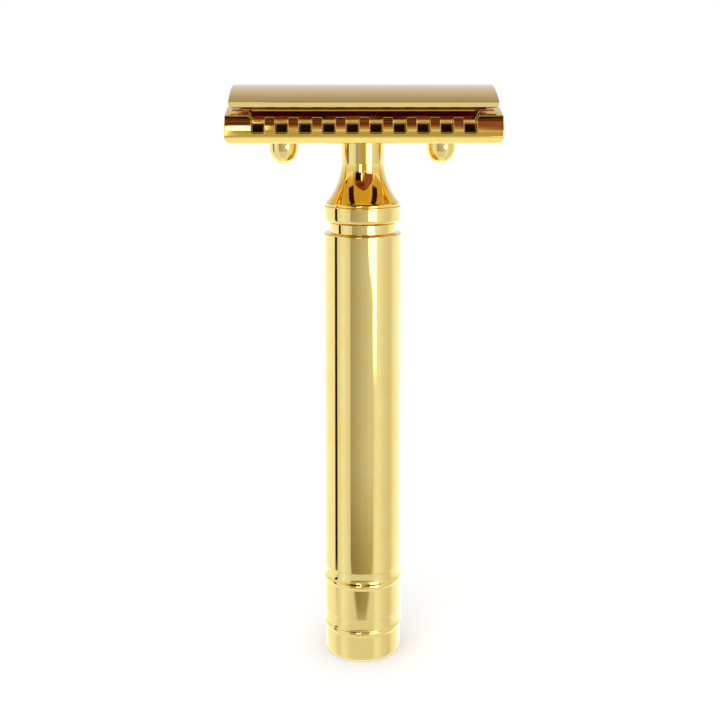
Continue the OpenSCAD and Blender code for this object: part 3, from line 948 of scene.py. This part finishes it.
    # A brick-red thing, a black one, and a pale box on each side
    high = g.mix(patch((10.0, 48.0), 5.0, (15.0, 40.0), 2.0), high, (0.29, 0.085, 0.045))
    high = g.mix(patch((-38.0, -12.5), 1.5, (14.0, 27.0), 2.0), high, (0.006, 0.003, 0.0))
    high = g.mix(patch((56.0, 104.0), 6.0, (12.0, 34.0), 4.0, aside), high,
                 (0.95, 0.82, 0.50))
    high = g.mix(g.rise(aside, 110.0, 150.0), high, back)
    # The wall's foot is lowest straight ahead
    skirt = g.math("SUBTRACT", el, g.math("MULTIPLY", g.rise(aside, 9.0, 15.0), 4.0))
    whole = g.mix(g.rise(skirt, -5.5, -4.0), low, high)

    # A lamp on the left, a narrow one higher up, and one on the right that
    # gets wider in two steps
    whole = g.mix(patch((-19.5, -7.0), 0.8, (0.8, 13.0), 1.0), whole, lamp)
    whole = g.mix(patch((-7.0, -4.4), 0.15, (15.5, 28.0), 1.2), whole, lamp)
    inner = g.math("MULTIPLY_ADD", g.rise(below, 8.0, 10.5), 13.0, 17.0)
    inner = g.math("MULTIPLY_ADD", g.rise(el, -5.0, -4.0), 4.0, inner)
    outer = g.math("MULTIPLY_ADD", g.rise(el, -5.0, -4.0), 6.5, 39.5)
    whole = g.mix(patch((inner, outer), 1.5, (-12.0, 13.0), 3.0), whole, lamp)

    mirrored = g.node("ShaderNodeBackground")
    g.link(whole, mirrored.inputs["Color"])
    plain = g.node("ShaderNodeBackground")
    g.feed(plain.inputs["Color"], (1.0, 1.0, 1.0))
    choose = g.node("ShaderNodeMixShader")
    g.link(paths.outputs["Is Glossy Ray"], choose.inputs[0])
    g.link(plain.outputs[0], choose.inputs[1])
    g.link(mirrored.outputs[0], choose.inputs[2])
    g.link(choose.outputs[0], g.node("ShaderNodeOutputWorld").inputs[0])


def make_camera():
    """A near camera, almost level with the head, that looks a little down.

    The picture is cropped from below the lens axis, so the lens is shifted.
    """
    distance, height = 0.181, 0.0918
    turn, tilt = 1.1, 4.4
    lens_frames = 1.56
    shifts = {"shift_x": -0.0038, "shift_y": -0.2515}
    data = bpy.data.cameras.new("camera")
    data.sensor_width = 36.0
    data.lens = lens_frames * data.sensor_width
    data.clip_start = 0.01
    camera = bpy.data.objects.new("camera", data)
    a = math.radians(-turn)
    camera.location = (distance * math.sin(a), -distance * math.cos(a), height)
    camera.rotation_euler = (math.radians(90 - tilt), 0, a)
    bpy.context.scene.collection.objects.link(camera)
    bpy.context.scene.camera = camera

    # The shifts belong to this viewpoint: from any other one they are nil
    stand = bpy.data.objects.new("camera_stand", None)
    stand.matrix_world = camera.matrix_basis.copy()
    bpy.context.scene.collection.objects.link(stand)
    for name, shift in shifts.items():
        curve = data.driver_add(name)
        curve.driver.type = "SUM"
        for kind in ("LOC_DIFF", "ROTATION_DIFF"):
            away = curve.driver.variables.new()
            away.type = kind
            away.targets[0].id = camera
            away.targets[1].id = stand
        for modifier in list(curve.modifiers):
            curve.modifiers.remove(modifier)
        curve.keyframe_points.insert(0.0, shift)
        curve.keyframe_points.insert(0.05, 0.0)
        for key in curve.keyframe_points:
            key.interpolation = "LINEAR"


handle_gold = gold("handle_gold", (1.0, 1.0, 25.0))
head_gold = gold("head_gold", (0.04, 1.0, 1.0))
stud_gold = gold("stud_gold", (1.0, 1.0, 20.0), 0.12)
make_handle(handle_gold)
make_base_plate(head_gold)
make_cap(head_gold)
make_stud(stud_gold)
make_pin(-1, stud_gold)
make_pin(1, stud_gold)
make_blade(steel("blade_face", (0.03, 1.0, 1.0), 0.08),
           steel("blade_edge", (1.0, 0.08, 0.08), 0.03))

make_floor()
make_studio()
make_light("key_light", (-0.1, -0.45, 0.75), (0, 0, 0.03), 0.8, 2.2)
make_camera()
bpy.context.scene.view_settings.view_transform = "Standard"
